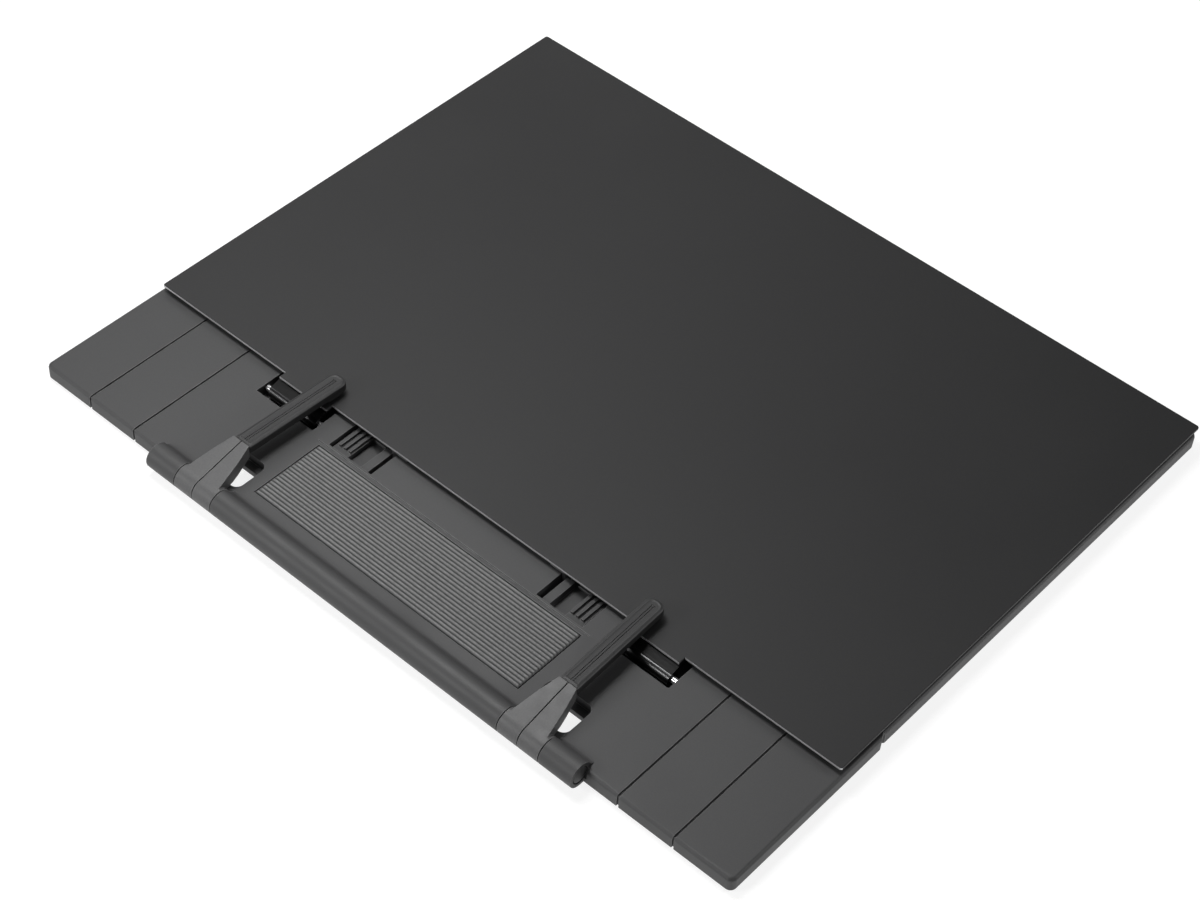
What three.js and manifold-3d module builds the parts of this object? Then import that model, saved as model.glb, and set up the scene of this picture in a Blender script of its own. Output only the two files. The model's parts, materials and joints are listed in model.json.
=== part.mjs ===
// Flat-folding laptop riser: a base of two mouldings, a hinged sheet-metal plate held up by a
// folding prop, two swinging front arms that stop the laptop from sliding, and two plate locks.
// Millimetres. X is the width, +Y points to the back, +Z is up, and z = 0 is the table.
import * as THREE from 'three';
import { mergeVertices } from 'three/addons/utils/BufferGeometryUtils.js';
import Module from 'manifold-3d';

const wasm = await Module();
wasm.setup();

// ---- Driving dimensions ----
const WIDTH = 320;
const FRONT_WIDTH = 322.2;         // the front moulding stands a little proud of the plate
const REAR_WIDTH = 320.8;
const PLATE_DEPTH = 211;
const PLATE_THICKNESS = 1.2;
const STRIP_DEPTH = 57;           // from the barrel axis back to the plate's front edge
const STRIP_SETBACK = 1.7;        // from the barrel axis back to the strip's front wall
const BARREL_RADIUS = 5;
const GAP = 0.3;                  // clearance between neighbouring pieces
const BASE_BOTTOM = 1;
const BASE_TOP = 6.7;
const PLATE_BOTTOM = 8.5;
const RIM_RADIUS = 1.3;
const FRONT_CORNER = 2.4;
const REAR_CORNER = 3.5;
const SHEET_CORNER = 1;
const SHELF_TOP = 6;              // the rear moulding's wide sides, just under the plate
const BAY_HALF = 78;              // the bay that the prop folds into
const BAY_FLOOR = 2.2;

const PLATE_TOP = PLATE_BOTTOM + PLATE_THICKNESS;
const DEPTH = BARREL_RADIUS + STRIP_DEPTH + PLATE_DEPTH;
const FRONT = -DEPTH / 2;
const BACK = DEPTH / 2;
const HALF = WIDTH / 2;
const PLATE_FRONT = BACK - PLATE_DEPTH;
const BARREL_Y = FRONT + BARREL_RADIUS;
const BARREL_Z = BASE_BOTTOM + BARREL_RADIUS;
const BARREL_END = 99.8;
const BARREL_FILLET = 2.5;
const STRIP_FRONT = BARREL_Y + STRIP_SETBACK;
const JOINT_Y = PLATE_FRONT + 23; // where the front and rear mouldings meet

const ARM_X = 76.6;
const RING_HALF = 8.9;
const SLOT_HALF = RING_HALF + GAP;
const WINDOW_Y = [BARREL_Y + 7.7, PLATE_FRONT - 34.5];
const WINDOW_CORNER = 3;
const SILL_DEPTH = 3.3;           // the step at the foot of the window's back wall
const SILL_TOP = 3.2;
const BRACKET_BACK = PLATE_FRONT - 37.8;
const BRACKET_TOP = 15.6;
const BRACKET_BOTTOM = 10;
// Half widths of the bracket along Y, behind its full-width ring.
const BRACKET_TAPER = [[BARREL_Y + 1, 7.9], [BARREL_Y + 12, 5.7], [BRACKET_BACK, 3.8]];
const BAR_HALF = 3.8;
const BAR_BOTTOM = 11.4;
const BAR_TOP = 15;
const BAR_TIP = PLATE_FRONT + 9.4;
const BAR_LEAN = 1.7;             // how far the bar's tip leans to the middle
const TONGUE_TOP = 12.9;          // of the bar's tongue, in the bracket's socket
const AXLE_RADIUS = 1.7;
const AXLE_SPAN = [60, 95];

const HINGE_Y = PLATE_FRONT - 6.3;
const HINGE_Z = 4.5;
const HINGE_PIN_RADIUS = 1.25;
const KNUCKLE_RADIUS = 2.6;
const KNUCKLE_SPAN = [70.8, 94.8];
const POCKET_SPAN = [69, 97.5];
const POCKET_FRONT = PLATE_FRONT - 11.5;
const POCKET_FLOOR = 1.6;
const PIN_SPAN = [64.5, 102];
const TAB_SPAN = [70.3, 94.6];    // tongues of the plate that cover the hinges
const TAB_DEPTH = 3;
const LEAF_TOP = 8.2;

const LOCK_SPAN = [39.2, 60];     // the whole lock window, |x|
const LOCK_RIB = [41.4, 44.8];    // the guide rib that the lock's tongue passes through
const LOCK_BODY = [51.6, 59.2];
const LOCK_FRONT = PLATE_FRONT - 12;
const LOCK_BACK = PLATE_FRONT + 6.5;
const LOCK_FLOOR = 3;
const LOCK_RIDGES = [PLATE_FRONT - 9.2, PLATE_FRONT + 1];
const TONGUE_END = 46;
const TONGUE_Y = [PLATE_FRONT + 1.9, PLATE_FRONT + 3.6];
const TONGUE_Z = [3.4, 4.5];
const CATCH_SPAN = [39.6, 41];

const PAD_HALF = 62;
const PAD_FRONT = PLATE_FRONT - 45.5;
const PAD_BACK = PLATE_FRONT - 15;
const PAD_SEAT = 5.9;
const PAD_TOP = 7.1;
const PAD_RIBS = 20;
const GROOVE_LINES = [114, 137];

const LINK = 95;                  // hinge to prop pivot, and prop pivot to foot
const PROP_Y = HINGE_Y + LINK;
const PROP_FOOT_Y = PROP_Y + LINK;
const PROP_PIN_RADIUS = 0.9;
const PROP_EYE_RADIUS = 2;
const PROP_LEG = [52, 60];
const PROP_HALF_THICKNESS = 1.3;
const BRACKET_EAR = [61.5, 63.5];
const SLEEVE_SPAN = [61, 70];
const SLEEVE_RADIUS = 1.7;
const RACK_Y = [35.3, 115.7];
const RACK_TOP = 2.5;
const RACK_TEETH = 13;

const FOOT_RADIUS = 6;
const FOOT_X = 142;
const FOOT_ROWS = [-119, 5, 124];
const BUMPER_X = 149;
const BUMPER_ROWS = [-25, 108];
const SCREW_LINES = [60, 140];
const SCREW_Y = JOINT_Y + 5.5;

// ---- Finishes ----
const finish = {
  plate: { color: 0x33353a, roughness: 0.42, metalness: 0.6 },
  moulding: { color: 0x3d3e42, roughness: 0.6, metalness: 0 },
  arm: { color: 0x6e7074, roughness: 0.55, metalness: 0 },
  bar: { color: 0x36373a, roughness: 0.55, metalness: 0 },
  rubber: { color: 0x4c4d50, roughness: 0.85, metalness: 0 },
  steel: { color: 0xb8bbbf, roughness: 0.3, metalness: 1 },
  leaf: { color: 0x2a2b2d, roughness: 0.25, metalness: 0.8 },
};

// ---- Solids ----
function solid(geometry) {
  const plain = geometry.index ? geometry.toNonIndexed() : geometry.clone();
  plain.deleteAttribute('normal');
  plain.deleteAttribute('uv');
  const merged = mergeVertices(plain, 1e-4);
  const vertProperties = new Float32Array(merged.attributes.position.array);
  const triVerts = new Uint32Array(merged.index.array);
  return new wasm.Manifold(new wasm.Mesh({ numProp: 3, vertProperties, triVerts }));
}

function block([x0, x1], [y0, y1], [z0, z1]) {
  const geometry = new THREE.BoxGeometry(x1 - x0, y1 - y0, z1 - z0);
  geometry.translate((x0 + x1) / 2, (y0 + y1) / 2, (z0 + z1) / 2);
  return solid(geometry);
}

function rodX([x0, x1], y, z, radius, sides = 20) {
  const geometry = new THREE.CylinderGeometry(radius, radius, x1 - x0, sides);
  geometry.rotateZ(Math.PI / 2);
  geometry.translate((x0 + x1) / 2, y, z);
  return solid(geometry);
}

function rodZ(x, y, [z0, z1], radius, sides = 24) {
  const geometry = new THREE.CylinderGeometry(radius, radius, z1 - z0, sides);
  geometry.rotateX(Math.PI / 2);
  geometry.translate(x, y, (z0 + z1) / 2);
  return solid(geometry);
}

// A shape drawn in (y, z) and run along X.
function prismX(shape, [x0, x1], curveSegments = 8) {
  const geometry = new THREE.ExtrudeGeometry(shape, { depth: x1 - x0, bevelEnabled: false, curveSegments });
  const turn = new THREE.Matrix4().makeBasis(
    new THREE.Vector3(0, 1, 0),
    new THREE.Vector3(0, 0, 1),
    new THREE.Vector3(1, 0, 0),
  );
  geometry.applyMatrix4(turn);
  geometry.translate(x0, 0, 0);
  return solid(geometry);
}

// A shape drawn in (x, y) and run up Z, with its upper and lower edges rounded by `round`.
function prismZ(shape, [z0, z1], round = 0, curveSegments = 6) {
  const options = { depth: z1 - z0 - 2 * round, bevelEnabled: round > 0, curveSegments };
  options.bevelThickness = round;
  options.bevelSize = round;
  options.bevelOffset = -round;
  options.bevelSegments = 3;
  const geometry = new THREE.ExtrudeGeometry(shape, options);
  geometry.translate(0, 0, z0 + round);
  return solid(geometry);
}

function outline(points) {
  return new THREE.Shape(points.map(([u, v]) => new THREE.Vector2(u, v)));
}

function roundedRect([x0, x1], [y0, y1], radius) {
  const shape = new THREE.Shape();
  shape.moveTo(x0 + radius, y0);
  shape.lineTo(x1 - radius, y0);
  shape.absarc(x1 - radius, y0 + radius, radius, -Math.PI / 2, 0);
  shape.lineTo(x1, y1 - radius);
  shape.absarc(x1 - radius, y1 - radius, radius, 0, Math.PI / 2);
  shape.lineTo(x0 + radius, y1);
  shape.absarc(x0 + radius, y1 - radius, radius, Math.PI / 2, Math.PI);
  shape.lineTo(x0, y0 + radius);
  shape.absarc(x0 + radius, y0 + radius, radius, Math.PI, 1.5 * Math.PI);
  return shape;
}

// The x range on one side of the middle: side is +1 on the right and -1 on the left.
function span(side, [inner, outer]) {
  return side > 0 ? [inner, outer] : [-outer, -inner];
}

function grow([low, high], by) {
  return [low - by, high + by];
}

const SIDES = [['left', -1], ['right', 1]];

// ---- Base ----
// The outer form of one moulding: a slab with a rounded upper rim, cut off where the other begins.
function baseBlank(width, corner, [from, to]) {
  const half = width / 2;
  const shape = roundedRect([-half, half], [STRIP_FRONT, BACK], corner);
  const slab = prismZ(shape, [BASE_BOTTOM - 4, BASE_TOP], RIM_RADIUS);
  return slab.intersect(block([-half, half], [from, to], [BASE_BOTTOM, BASE_TOP]));
}

// The tube along the front edge, with a hollow fillet down to the strip behind it.
function barrelShape() {
  const rise = BASE_TOP + BARREL_FILLET - BARREL_Z;
  const run = Math.sqrt((BARREL_RADIUS + BARREL_FILLET) ** 2 - rise ** 2);
  const meet = Math.atan2(rise, run);
  const shape = new THREE.Shape();
  shape.moveTo(BARREL_Y, BASE_BOTTOM);
  shape.absarc(BARREL_Y, BARREL_Z, BARREL_RADIUS, -Math.PI / 2, meet - 2 * Math.PI, true);
  const bend = [BARREL_FILLET, meet + Math.PI, 1.5 * Math.PI];
  shape.absarc(BARREL_Y + run, BASE_TOP + BARREL_FILLET, ...bend, false);
  shape.lineTo(BARREL_Y + run, BASE_BOTTOM);
  return shape;
}

function addBarrel(body) {
  const inner = ARM_X - SLOT_HALF;
  let joined = body.add(prismX(barrelShape(), [-inner, inner], 18));
  for (const [, side] of SIDES) {
    joined = joined.add(prismX(barrelShape(), span(side, [ARM_X + SLOT_HALF, BARREL_END]), 18));
  }
  return joined;
}

// The arm ring's slot, the window behind it, the axle bore and the seat of the end cap.
function cutArmSeat(body, side) {
  const slot = span(side, [ARM_X - SLOT_HALF, ARM_X + SLOT_HALF]);
  const upper = prismZ(roundedRect(slot, WINDOW_Y, WINDOW_CORNER), [SILL_TOP, 20]);
  const sill = [WINDOW_Y[0], WINDOW_Y[1] - SILL_DEPTH];
  const lower = prismZ(roundedRect(slot, sill, WINDOW_CORNER), [0, 20]);
  const bore = span(side, [AXLE_SPAN[0] - GAP, BARREL_END + 1]);
  const seat = span(side, [BARREL_END - 1.5, BARREL_END + 1]);
  return body
    .subtract(block(slot, [FRONT - 1, BARREL_Y + BARREL_RADIUS + GAP], [0, 20]))
    .subtract(upper)
    .subtract(lower)
    .subtract(rodX(bore, BARREL_Y, BARREL_Z, AXLE_RADIUS + GAP))
    .subtract(rodX(seat, BARREL_Y, BARREL_Z, 3.6, 24));
}

function cutHinge(body, side) {
  const pocket = block(span(side, POCKET_SPAN), [POCKET_FRONT, PLATE_FRONT + 4.5], [POCKET_FLOOR, 20]);
  const bore = rodX(grow(span(side, PIN_SPAN), GAP), HINGE_Y, HINGE_Z, HINGE_PIN_RADIUS + GAP);
  return body.subtract(pocket).subtract(bore);
}

// The lock window has a shallow floor under the slider, a guide rib, and a deep slot for the catch.
function cutLock(body, side) {
  const depth = [LOCK_FRONT, LOCK_BACK];
  const tray = block(span(side, [LOCK_RIB[1], LOCK_SPAN[1]]), depth, [LOCK_FLOOR, 20]);
  const slot = block(span(side, [LOCK_SPAN[0], LOCK_RIB[0]]), depth, [POCKET_FLOOR, 20]);
  const lowered = block(span(side, grow(LOCK_RIB, 1)), depth, [BASE_TOP - 0.9, 20]);
  const gate = block(span(side, grow(LOCK_RIB, 1)), grow(TONGUE_Y, GAP), [LOCK_FLOOR, 20]);
  return body.subtract(tray).subtract(slot).subtract(lowered).subtract(gate);
}

function cutGrooves(body) {
  let cut = body;
  for (const line of GROOVE_LINES) {
    for (const [, side] of SIDES) {
      const across = span(side, [line - 0.4, line + 0.4]);
      cut = cut.subtract(block(across, [FRONT, JOINT_Y], [BASE_TOP - 0.8, 20]));
      cut = cut.subtract(block(across, [FRONT, STRIP_FRONT + 0.8], [BASE_BOTTOM - 1, 20]));
    }
  }
  return cut;
}

// Pockets moulded into the underside, to keep the walls thin.
function coreUnderside(body) {
  let cored = body;
  const core = (x, y, top) => block(x, y, [BASE_BOTTOM - 1, top]);
  for (let i = -3; i < 3; i += 1) {
    const x = [i * 20 + 1, i * 20 + 19];
    cored = cored.subtract(core(x, [PAD_FRONT + 2, PAD_FRONT + 26], PAD_SEAT - 1.6));
    cored = cored.subtract(core(x, [LOCK_BACK + 1.5, JOINT_Y - 2], BASE_TOP - 1.7));
  }
  for (const [, side] of SIDES) {
    for (let i = 0; i < 2; i += 1) {
      const x = span(side, [105 + i * 14.5, 117.5 + i * 14.5]);
      for (let j = 0; j < 3; j += 1) {
        const y = [BARREL_Y + 4 + j * 24, BARREL_Y + 26 + j * 24];
        cored = cored.subtract(core(x, y, BASE_TOP - 2.2));
      }
    }
  }
  return cored;
}

function cutFeet(body) {
  let cut = body;
  for (const y of FOOT_ROWS) {
    for (const [, side] of SIDES) {
      const recess = rodZ(side * FOOT_X, y, [BASE_BOTTOM - 1, BASE_BOTTOM + 0.6], FOOT_RADIUS + GAP);
      cut = cut.subtract(recess);
    }
  }
  return cut;
}

// Chamfers a moulding's side corners where the two mouldings meet: `depth` along X, `run` along Y.
function cutJointCorners(body, width, depth, run) {
  let cut = body;
  const corner = (side) => outline([
    [side * (width / 2 - depth), JOINT_Y],
    [side * (width / 2 + depth), JOINT_Y],
    [side * (width / 2 + depth), JOINT_Y + 2 * run],
  ]);
  for (const [, side] of SIDES) {
    cut = cut.subtract(prismZ(corner(side), [0, 20]));
  }
  return cut;
}

function cutScrewHoles(body) {
  let cut = body;
  for (const line of SCREW_LINES) {
    for (const [, side] of SIDES) {
      cut = cut.subtract(rodZ(side * line, SCREW_Y, [0, 6], 1.5, 16));
    }
  }
  return cut;
}

function baseFront() {
  let body = addBarrel(baseBlank(FRONT_WIDTH, FRONT_CORNER, [FRONT, JOINT_Y - GAP / 2]));
  for (const [, side] of SIDES) {
    body = cutLock(cutHinge(cutArmSeat(body, side), side), side);
  }
  const padSeat = block(grow([-PAD_HALF, PAD_HALF], GAP), grow([PAD_FRONT, PAD_BACK], GAP), [PAD_SEAT, 20]);
  const padLine = block([-64, 64], [PLATE_FRONT - 13.4, PLATE_FRONT - 13], [BASE_TOP - 0.4, 20]);
  body = body.subtract(padSeat).subtract(padLine);
  body = coreUnderside(cutGrooves(body));
  const tongue = block([-150, 150], [JOINT_Y - 1.5, JOINT_Y + 9.5], [4, 6.2]);
  return cutScrewHoles(cutFeet(cutJointCorners(body, FRONT_WIDTH, 1.2, -2.4).add(tongue)));
}

// Pockets under the rear moulding's wide sides.
function coreShelves(body) {
  let cored = body;
  for (const [, side] of SIDES) {
    for (const x of [[81, 106.5], [109.5, 135]]) {
      for (let i = 0; i < 5; i += 1) {
        const y = [JOINT_Y + 15.5 + i * 34, JOINT_Y + 46.5 + i * 34];
        cored = cored.subtract(block(span(side, x), y, [BASE_BOTTOM - 1, SHELF_TOP - 1.8]));
      }
    }
  }
  return cored;
}

function baseRear() {
  const inside = [JOINT_Y + 13.5, BACK - 3.5];
  const shelf = block([-HALF + 3.5, HALF - 3.5], inside, [SHELF_TOP, 20]);
  const bay = block([-BAY_HALF, BAY_HALF], inside, [BAY_FLOOR, 20]);
  const lap = block([-150 - GAP, 150 + GAP], [JOINT_Y - 1, JOINT_Y + 9.5 + GAP], [4 - GAP, 20]);
  const blank = baseBlank(REAR_WIDTH, REAR_CORNER, [JOINT_Y + GAP / 2, BACK]);
  let body = coreShelves(blank.subtract(shelf).subtract(bay).subtract(lap));
  for (const [, side] of SIDES) {
    body = body.subtract(block(span(side, grow(SLEEVE_SPAN, GAP)), grow(RACK_Y, GAP), [0, 3]));
    for (const y of BUMPER_ROWS) {
      body = body.subtract(rodZ(side * BUMPER_X, y, [BAY_FLOOR + 1, 20], 1.3, 16));
    }
    for (const line of SCREW_LINES) {
      body = body.subtract(rodZ(side * line, SCREW_Y, [0, BASE_BOTTOM + 1.3], 2.9, 20));
    }
  }
  return cutScrewHoles(cutFeet(cutJointCorners(body, REAR_WIDTH, 0.7, 0.8)));
}

function gripPad() {
  const valley = PAD_TOP - 0.6;
  const pitch = (PAD_BACK - PAD_FRONT) / PAD_RIBS;
  const points = [[PAD_FRONT, PAD_SEAT + GAP]];
  for (let i = 0; i < PAD_RIBS; i += 1) {
    const y = PAD_FRONT + i * pitch;
    points.push([y, i ? valley : PAD_SEAT + GAP + 0.3], [y + 0.25 * pitch, PAD_TOP]);
    points.push([y + 0.65 * pitch, PAD_TOP], [y + 0.9 * pitch, valley]);
  }
  points.push([PAD_BACK, valley], [PAD_BACK, PAD_SEAT + GAP]);
  return prismX(outline(points), [-PAD_HALF, PAD_HALF]);
}

function rack(side) {
  const pitch = (RACK_Y[1] - RACK_Y[0]) / RACK_TEETH;
  const points = [[RACK_Y[0], 1.3]];
  for (let i = 0; i < RACK_TEETH; i += 1) {
    const y = RACK_Y[0] + i * pitch;
    points.push([y, RACK_TOP], [y + 0.35 * pitch, RACK_TOP], [y + 0.45 * pitch, RACK_TOP - 0.7]);
    points.push([y + 0.75 * pitch, RACK_TOP - 0.7]);
  }
  points.push([RACK_Y[1], RACK_TOP], [RACK_Y[1], 1.3]);
  return prismX(outline(points), span(side, SLEEVE_SPAN));
}

// ---- Plate and its hinge ----
function topPlate() {
  const sheet = roundedRect([-HALF, HALF], [PLATE_FRONT, BACK], SHEET_CORNER);
  let body = prismZ(sheet, [PLATE_BOTTOM, PLATE_TOP]);
  for (const [, side] of SIDES) {
    const tab = [PLATE_FRONT - TAB_DEPTH, PLATE_FRONT + 1];
    body = body.add(block(span(side, TAB_SPAN), tab, [PLATE_BOTTOM, PLATE_TOP]));
  }
  return body;
}

// The sheet leaf that is welded under the plate and rolled round the hinge pin.
function hingeLeaf(side) {
  const along = span(side, KNUCKLE_SPAN);
  const sheet = outline([
    [PLATE_FRONT + 12, LEAF_TOP],
    [PLATE_FRONT - 2.4, LEAF_TOP],
    [HINGE_Y, HINGE_Z + KNUCKLE_RADIUS],
    [HINGE_Y + 0.5, HINGE_Z + 1.4],
    [PLATE_FRONT - 2.2, LEAF_TOP - 1],
    [PLATE_FRONT + 12, LEAF_TOP - 1],
  ]);
  return prismX(sheet, along)
    .add(rodX(along, HINGE_Y, HINGE_Z, KNUCKLE_RADIUS, 28))
    .subtract(rodX(grow(along, 1), HINGE_Y, HINGE_Z, HINGE_PIN_RADIUS + GAP));
}

// A blade under the plate with a window that the lock's tongue slides into.
function plateCatch(side) {
  const top = PLATE_BOTTOM - GAP;
  const blade = block(span(side, CATCH_SPAN), [PLATE_FRONT + 0.5, PLATE_FRONT + 5.5], [2.2, top]);
  const flange = block(span(side, [34, CATCH_SPAN[1]]), [PLATE_FRONT + 0.5, PLATE_FRONT + 10.5], [7.2, top]);
  const window = block(span(side, grow(CATCH_SPAN, 1)), grow(TONGUE_Y, GAP), grow(TONGUE_Z, GAP));
  return blade.add(flange).subtract(window);
}

function lockSlider(side) {
  let body = block(span(side, LOCK_BODY), [LOCK_FRONT + GAP, LOCK_BACK - GAP], [LOCK_FLOOR + GAP, 5.2]);
  body = body.add(block(span(side, [TONGUE_END, LOCK_BODY[0] + 1]), TONGUE_Y, TONGUE_Z));
  for (let i = 0; i < 3; i += 1) {
    const x = LOCK_BODY[0] + 0.5 + i * 2.4;
    body = body.add(block(span(side, [x, x + 1.2]), LOCK_RIDGES, [5, 6.3]));
  }
  return body;
}

function plateBumper(x, y) {
  const profile = [[0, 3.6], [1, 3.6], [1, 6.3], [3.2, 6.3], [3.2, 7.7], [2.7, 8.2], [0, 8.2]];
  const geometry = new THREE.LatheGeometry(profile.map(([r, z]) => new THREE.Vector2(r, z)), 20);
  geometry.rotateX(Math.PI / 2);
  geometry.translate(x, y, 0);
  return solid(geometry);
}

// ---- Prop ----
function propFrame() {
  const z = [HINGE_Z - PROP_HALF_THICKNESS, HINGE_Z + PROP_HALF_THICKNESS];
  let body = block([-PROP_LEG[0] - 1, PROP_LEG[0] + 1], [PROP_FOOT_Y - 18, PROP_FOOT_Y - 9], z);
  body = body.add(block([-PROP_LEG[0] - 1, PROP_LEG[0] + 1], [PROP_Y + 16, PROP_Y + 22], z));
  for (const [, side] of SIDES) {
    const leg = span(side, PROP_LEG);
    body = body.add(block(leg, [PROP_Y, PROP_FOOT_Y], z));
    for (const y of [PROP_Y, PROP_FOOT_Y]) {
      body = body.add(rodX(leg, y, HINGE_Z, PROP_EYE_RADIUS));
    }
  }
  for (const y of [PROP_Y, PROP_FOOT_Y]) {
    body = body.subtract(rodX([-HALF, HALF], y, HINGE_Z, PROP_PIN_RADIUS + GAP, 16));
  }
  return body;
}

function propBracket(side) {
  const ear = new THREE.Shape();
  ear.moveTo(PROP_Y + 4.5, PLATE_BOTTOM - GAP);
  ear.lineTo(PROP_Y - 4.5, PLATE_BOTTOM - GAP);
  ear.absarc(PROP_Y, HINGE_Z, 1.8, Math.PI, 2 * Math.PI, false);
  const flange = block(span(side, [BRACKET_EAR[0], 72]), [PROP_Y - 7, PROP_Y + 7], [7.2, PLATE_BOTTOM - GAP]);
  return prismX(ear, span(side, BRACKET_EAR), 6)
    .add(flange)
    .subtract(rodX(span(side, grow(BRACKET_EAR, 1)), PROP_Y, HINGE_Z, PROP_PIN_RADIUS + GAP, 16));
}

// ---- Arms ----
// The bracket's outline from above, with its X offsets held between `inner` and `outer`.
function armPlan(side, [inner, outer]) {
  const x = (offset) => side * ARM_X + Math.min(Math.max(offset, inner), outer);
  const right = BRACKET_TAPER.map(([y, half]) => [x(half), y]);
  const left = BRACKET_TAPER.map(([y, half]) => [x(-half), y]).reverse();
  return outline([[x(-RING_HALF), BARREL_Y], [x(RING_HALF), BARREL_Y], ...right, ...left]);
}

// One half of the arm's hollow bracket: the two halves meet along the arm's middle.
function armShell(side, half) {
  const profile = outline([
    [BARREL_Y, BARREL_Z + BARREL_RADIUS],
    [BRACKET_BACK, BRACKET_TOP],
    [BRACKET_BACK, BRACKET_BOTTOM],
    [BRACKET_BACK - 6, 8.4],
    [BARREL_Y + 9, 7.3],
    [BARREL_Y + 4.5, 7.1],
  ]);
  const x = side * ARM_X;
  const limits = half === 'left' ? [-RING_HALF, -GAP / 2] : [GAP / 2, RING_HALF];
  const wide = [x + limits[0], x + limits[1]];
  const ring = rodX(wide, BARREL_Y, BARREL_Z, BARREL_RADIUS, 44);
  const socketZ = [BAR_BOTTOM - GAP, TONGUE_TOP + GAP];
  return prismX(profile, wide)
    .intersect(prismZ(armPlan(side, limits), [0, 20]))
    .add(ring)
    .subtract(rodX(grow(wide, 1), BARREL_Y, BARREL_Z, AXLE_RADIUS + GAP))
    .subtract(block([x - 2.3, x + 2.3], [BRACKET_BACK - 8.8, BRACKET_BACK + 1], socketZ));
}

// Shears a piece of the bar to the middle, in step with the distance behind the bracket.
function leaned(side, body) {
  const slope = BAR_LEAN / (BAR_TIP - BRACKET_BACK);
  return body.warp((vert) => {
    vert[0] -= side * slope * Math.max(0, vert[1] - BRACKET_BACK);
  });
}

function armBar(side) {
  const x = side * ARM_X;
  const plan = roundedRect([x - BAR_HALF, x + BAR_HALF], [BRACKET_BACK + GAP - 4, BAR_TIP], 3.2);
  const bar = prismZ(plan, [BAR_BOTTOM, BAR_TOP], 0.8)
    .intersect(block([x - 9, x + 9], [BRACKET_BACK + GAP, BAR_TIP + 1], [0, 20]));
  const tongue = block([x - 2, x + 2], [BRACKET_BACK - 8.5, BRACKET_BACK + 3], [BAR_BOTTOM, TONGUE_TOP]);
  return leaned(side, bar).add(tongue);
}

function armBumper(side) {
  const x = side * ARM_X;
  const shape = roundedRect([x - 3, x + 3], [BAR_TIP - 10, BAR_TIP - 2.5], 1.2);
  return leaned(side, prismZ(shape, [PLATE_TOP + GAP, BAR_BOTTOM - GAP], 0, 4));
}

// ---- Small pieces ----
function endCap(side) {
  const plug = rodX(span(side, [AXLE_SPAN[1] + GAP, BARREL_END - 1]), BARREL_Y, BARREL_Z, AXLE_RADIUS);
  const disc = rodX(span(side, [BARREL_END - 1.5 + GAP, BARREL_END]), BARREL_Y, BARREL_Z, 3.3, 24);
  return plug.add(disc);
}

function footPad(x, y) {
  return rodZ(x, y, [0, BASE_BOTTOM + 0.6 - GAP], FOOT_RADIUS, 28);
}

function screw(x, y) {
  const shank = rodZ(x, y, [BASE_BOTTOM + 0.6, 5.8], 1.2, 16);
  const slot = block([x - 1.9, x + 1.9], [y - 0.35, y + 0.35], [0, BASE_BOTTOM + 0.5]);
  return rodZ(x, y, [BASE_BOTTOM + 0.1, BASE_BOTTOM + 1], 2.6, 20).add(shank).subtract(slot);
}

// ---- Assembly ----
const group = new THREE.Group();

function place(name, body, look) {
  const cut = body.getMesh();
  const geometry = new THREE.BufferGeometry();
  geometry.setAttribute('position', new THREE.BufferAttribute(new Float32Array(cut.vertProperties), 3));
  geometry.setIndex(new THREE.BufferAttribute(new Uint32Array(cut.triVerts), 1));
  geometry.computeVertexNormals();
  const material = new THREE.MeshStandardMaterial({ ...look, flatShading: true });
  const mesh = new THREE.Mesh(geometry, material);
  mesh.name = name;
  group.add(mesh);
}

place('base_front', baseFront(), finish.moulding);
place('base_rear', baseRear(), finish.moulding);
place('grip_pad', gripPad(), finish.rubber);
place('top_plate', topPlate(), finish.plate);
place('prop_frame', propFrame(), finish.bar);
place('prop_foot_bar', rodX([-70.6, 70.6], PROP_FOOT_Y, HINGE_Z, PROP_PIN_RADIUS, 16), finish.steel);

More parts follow.
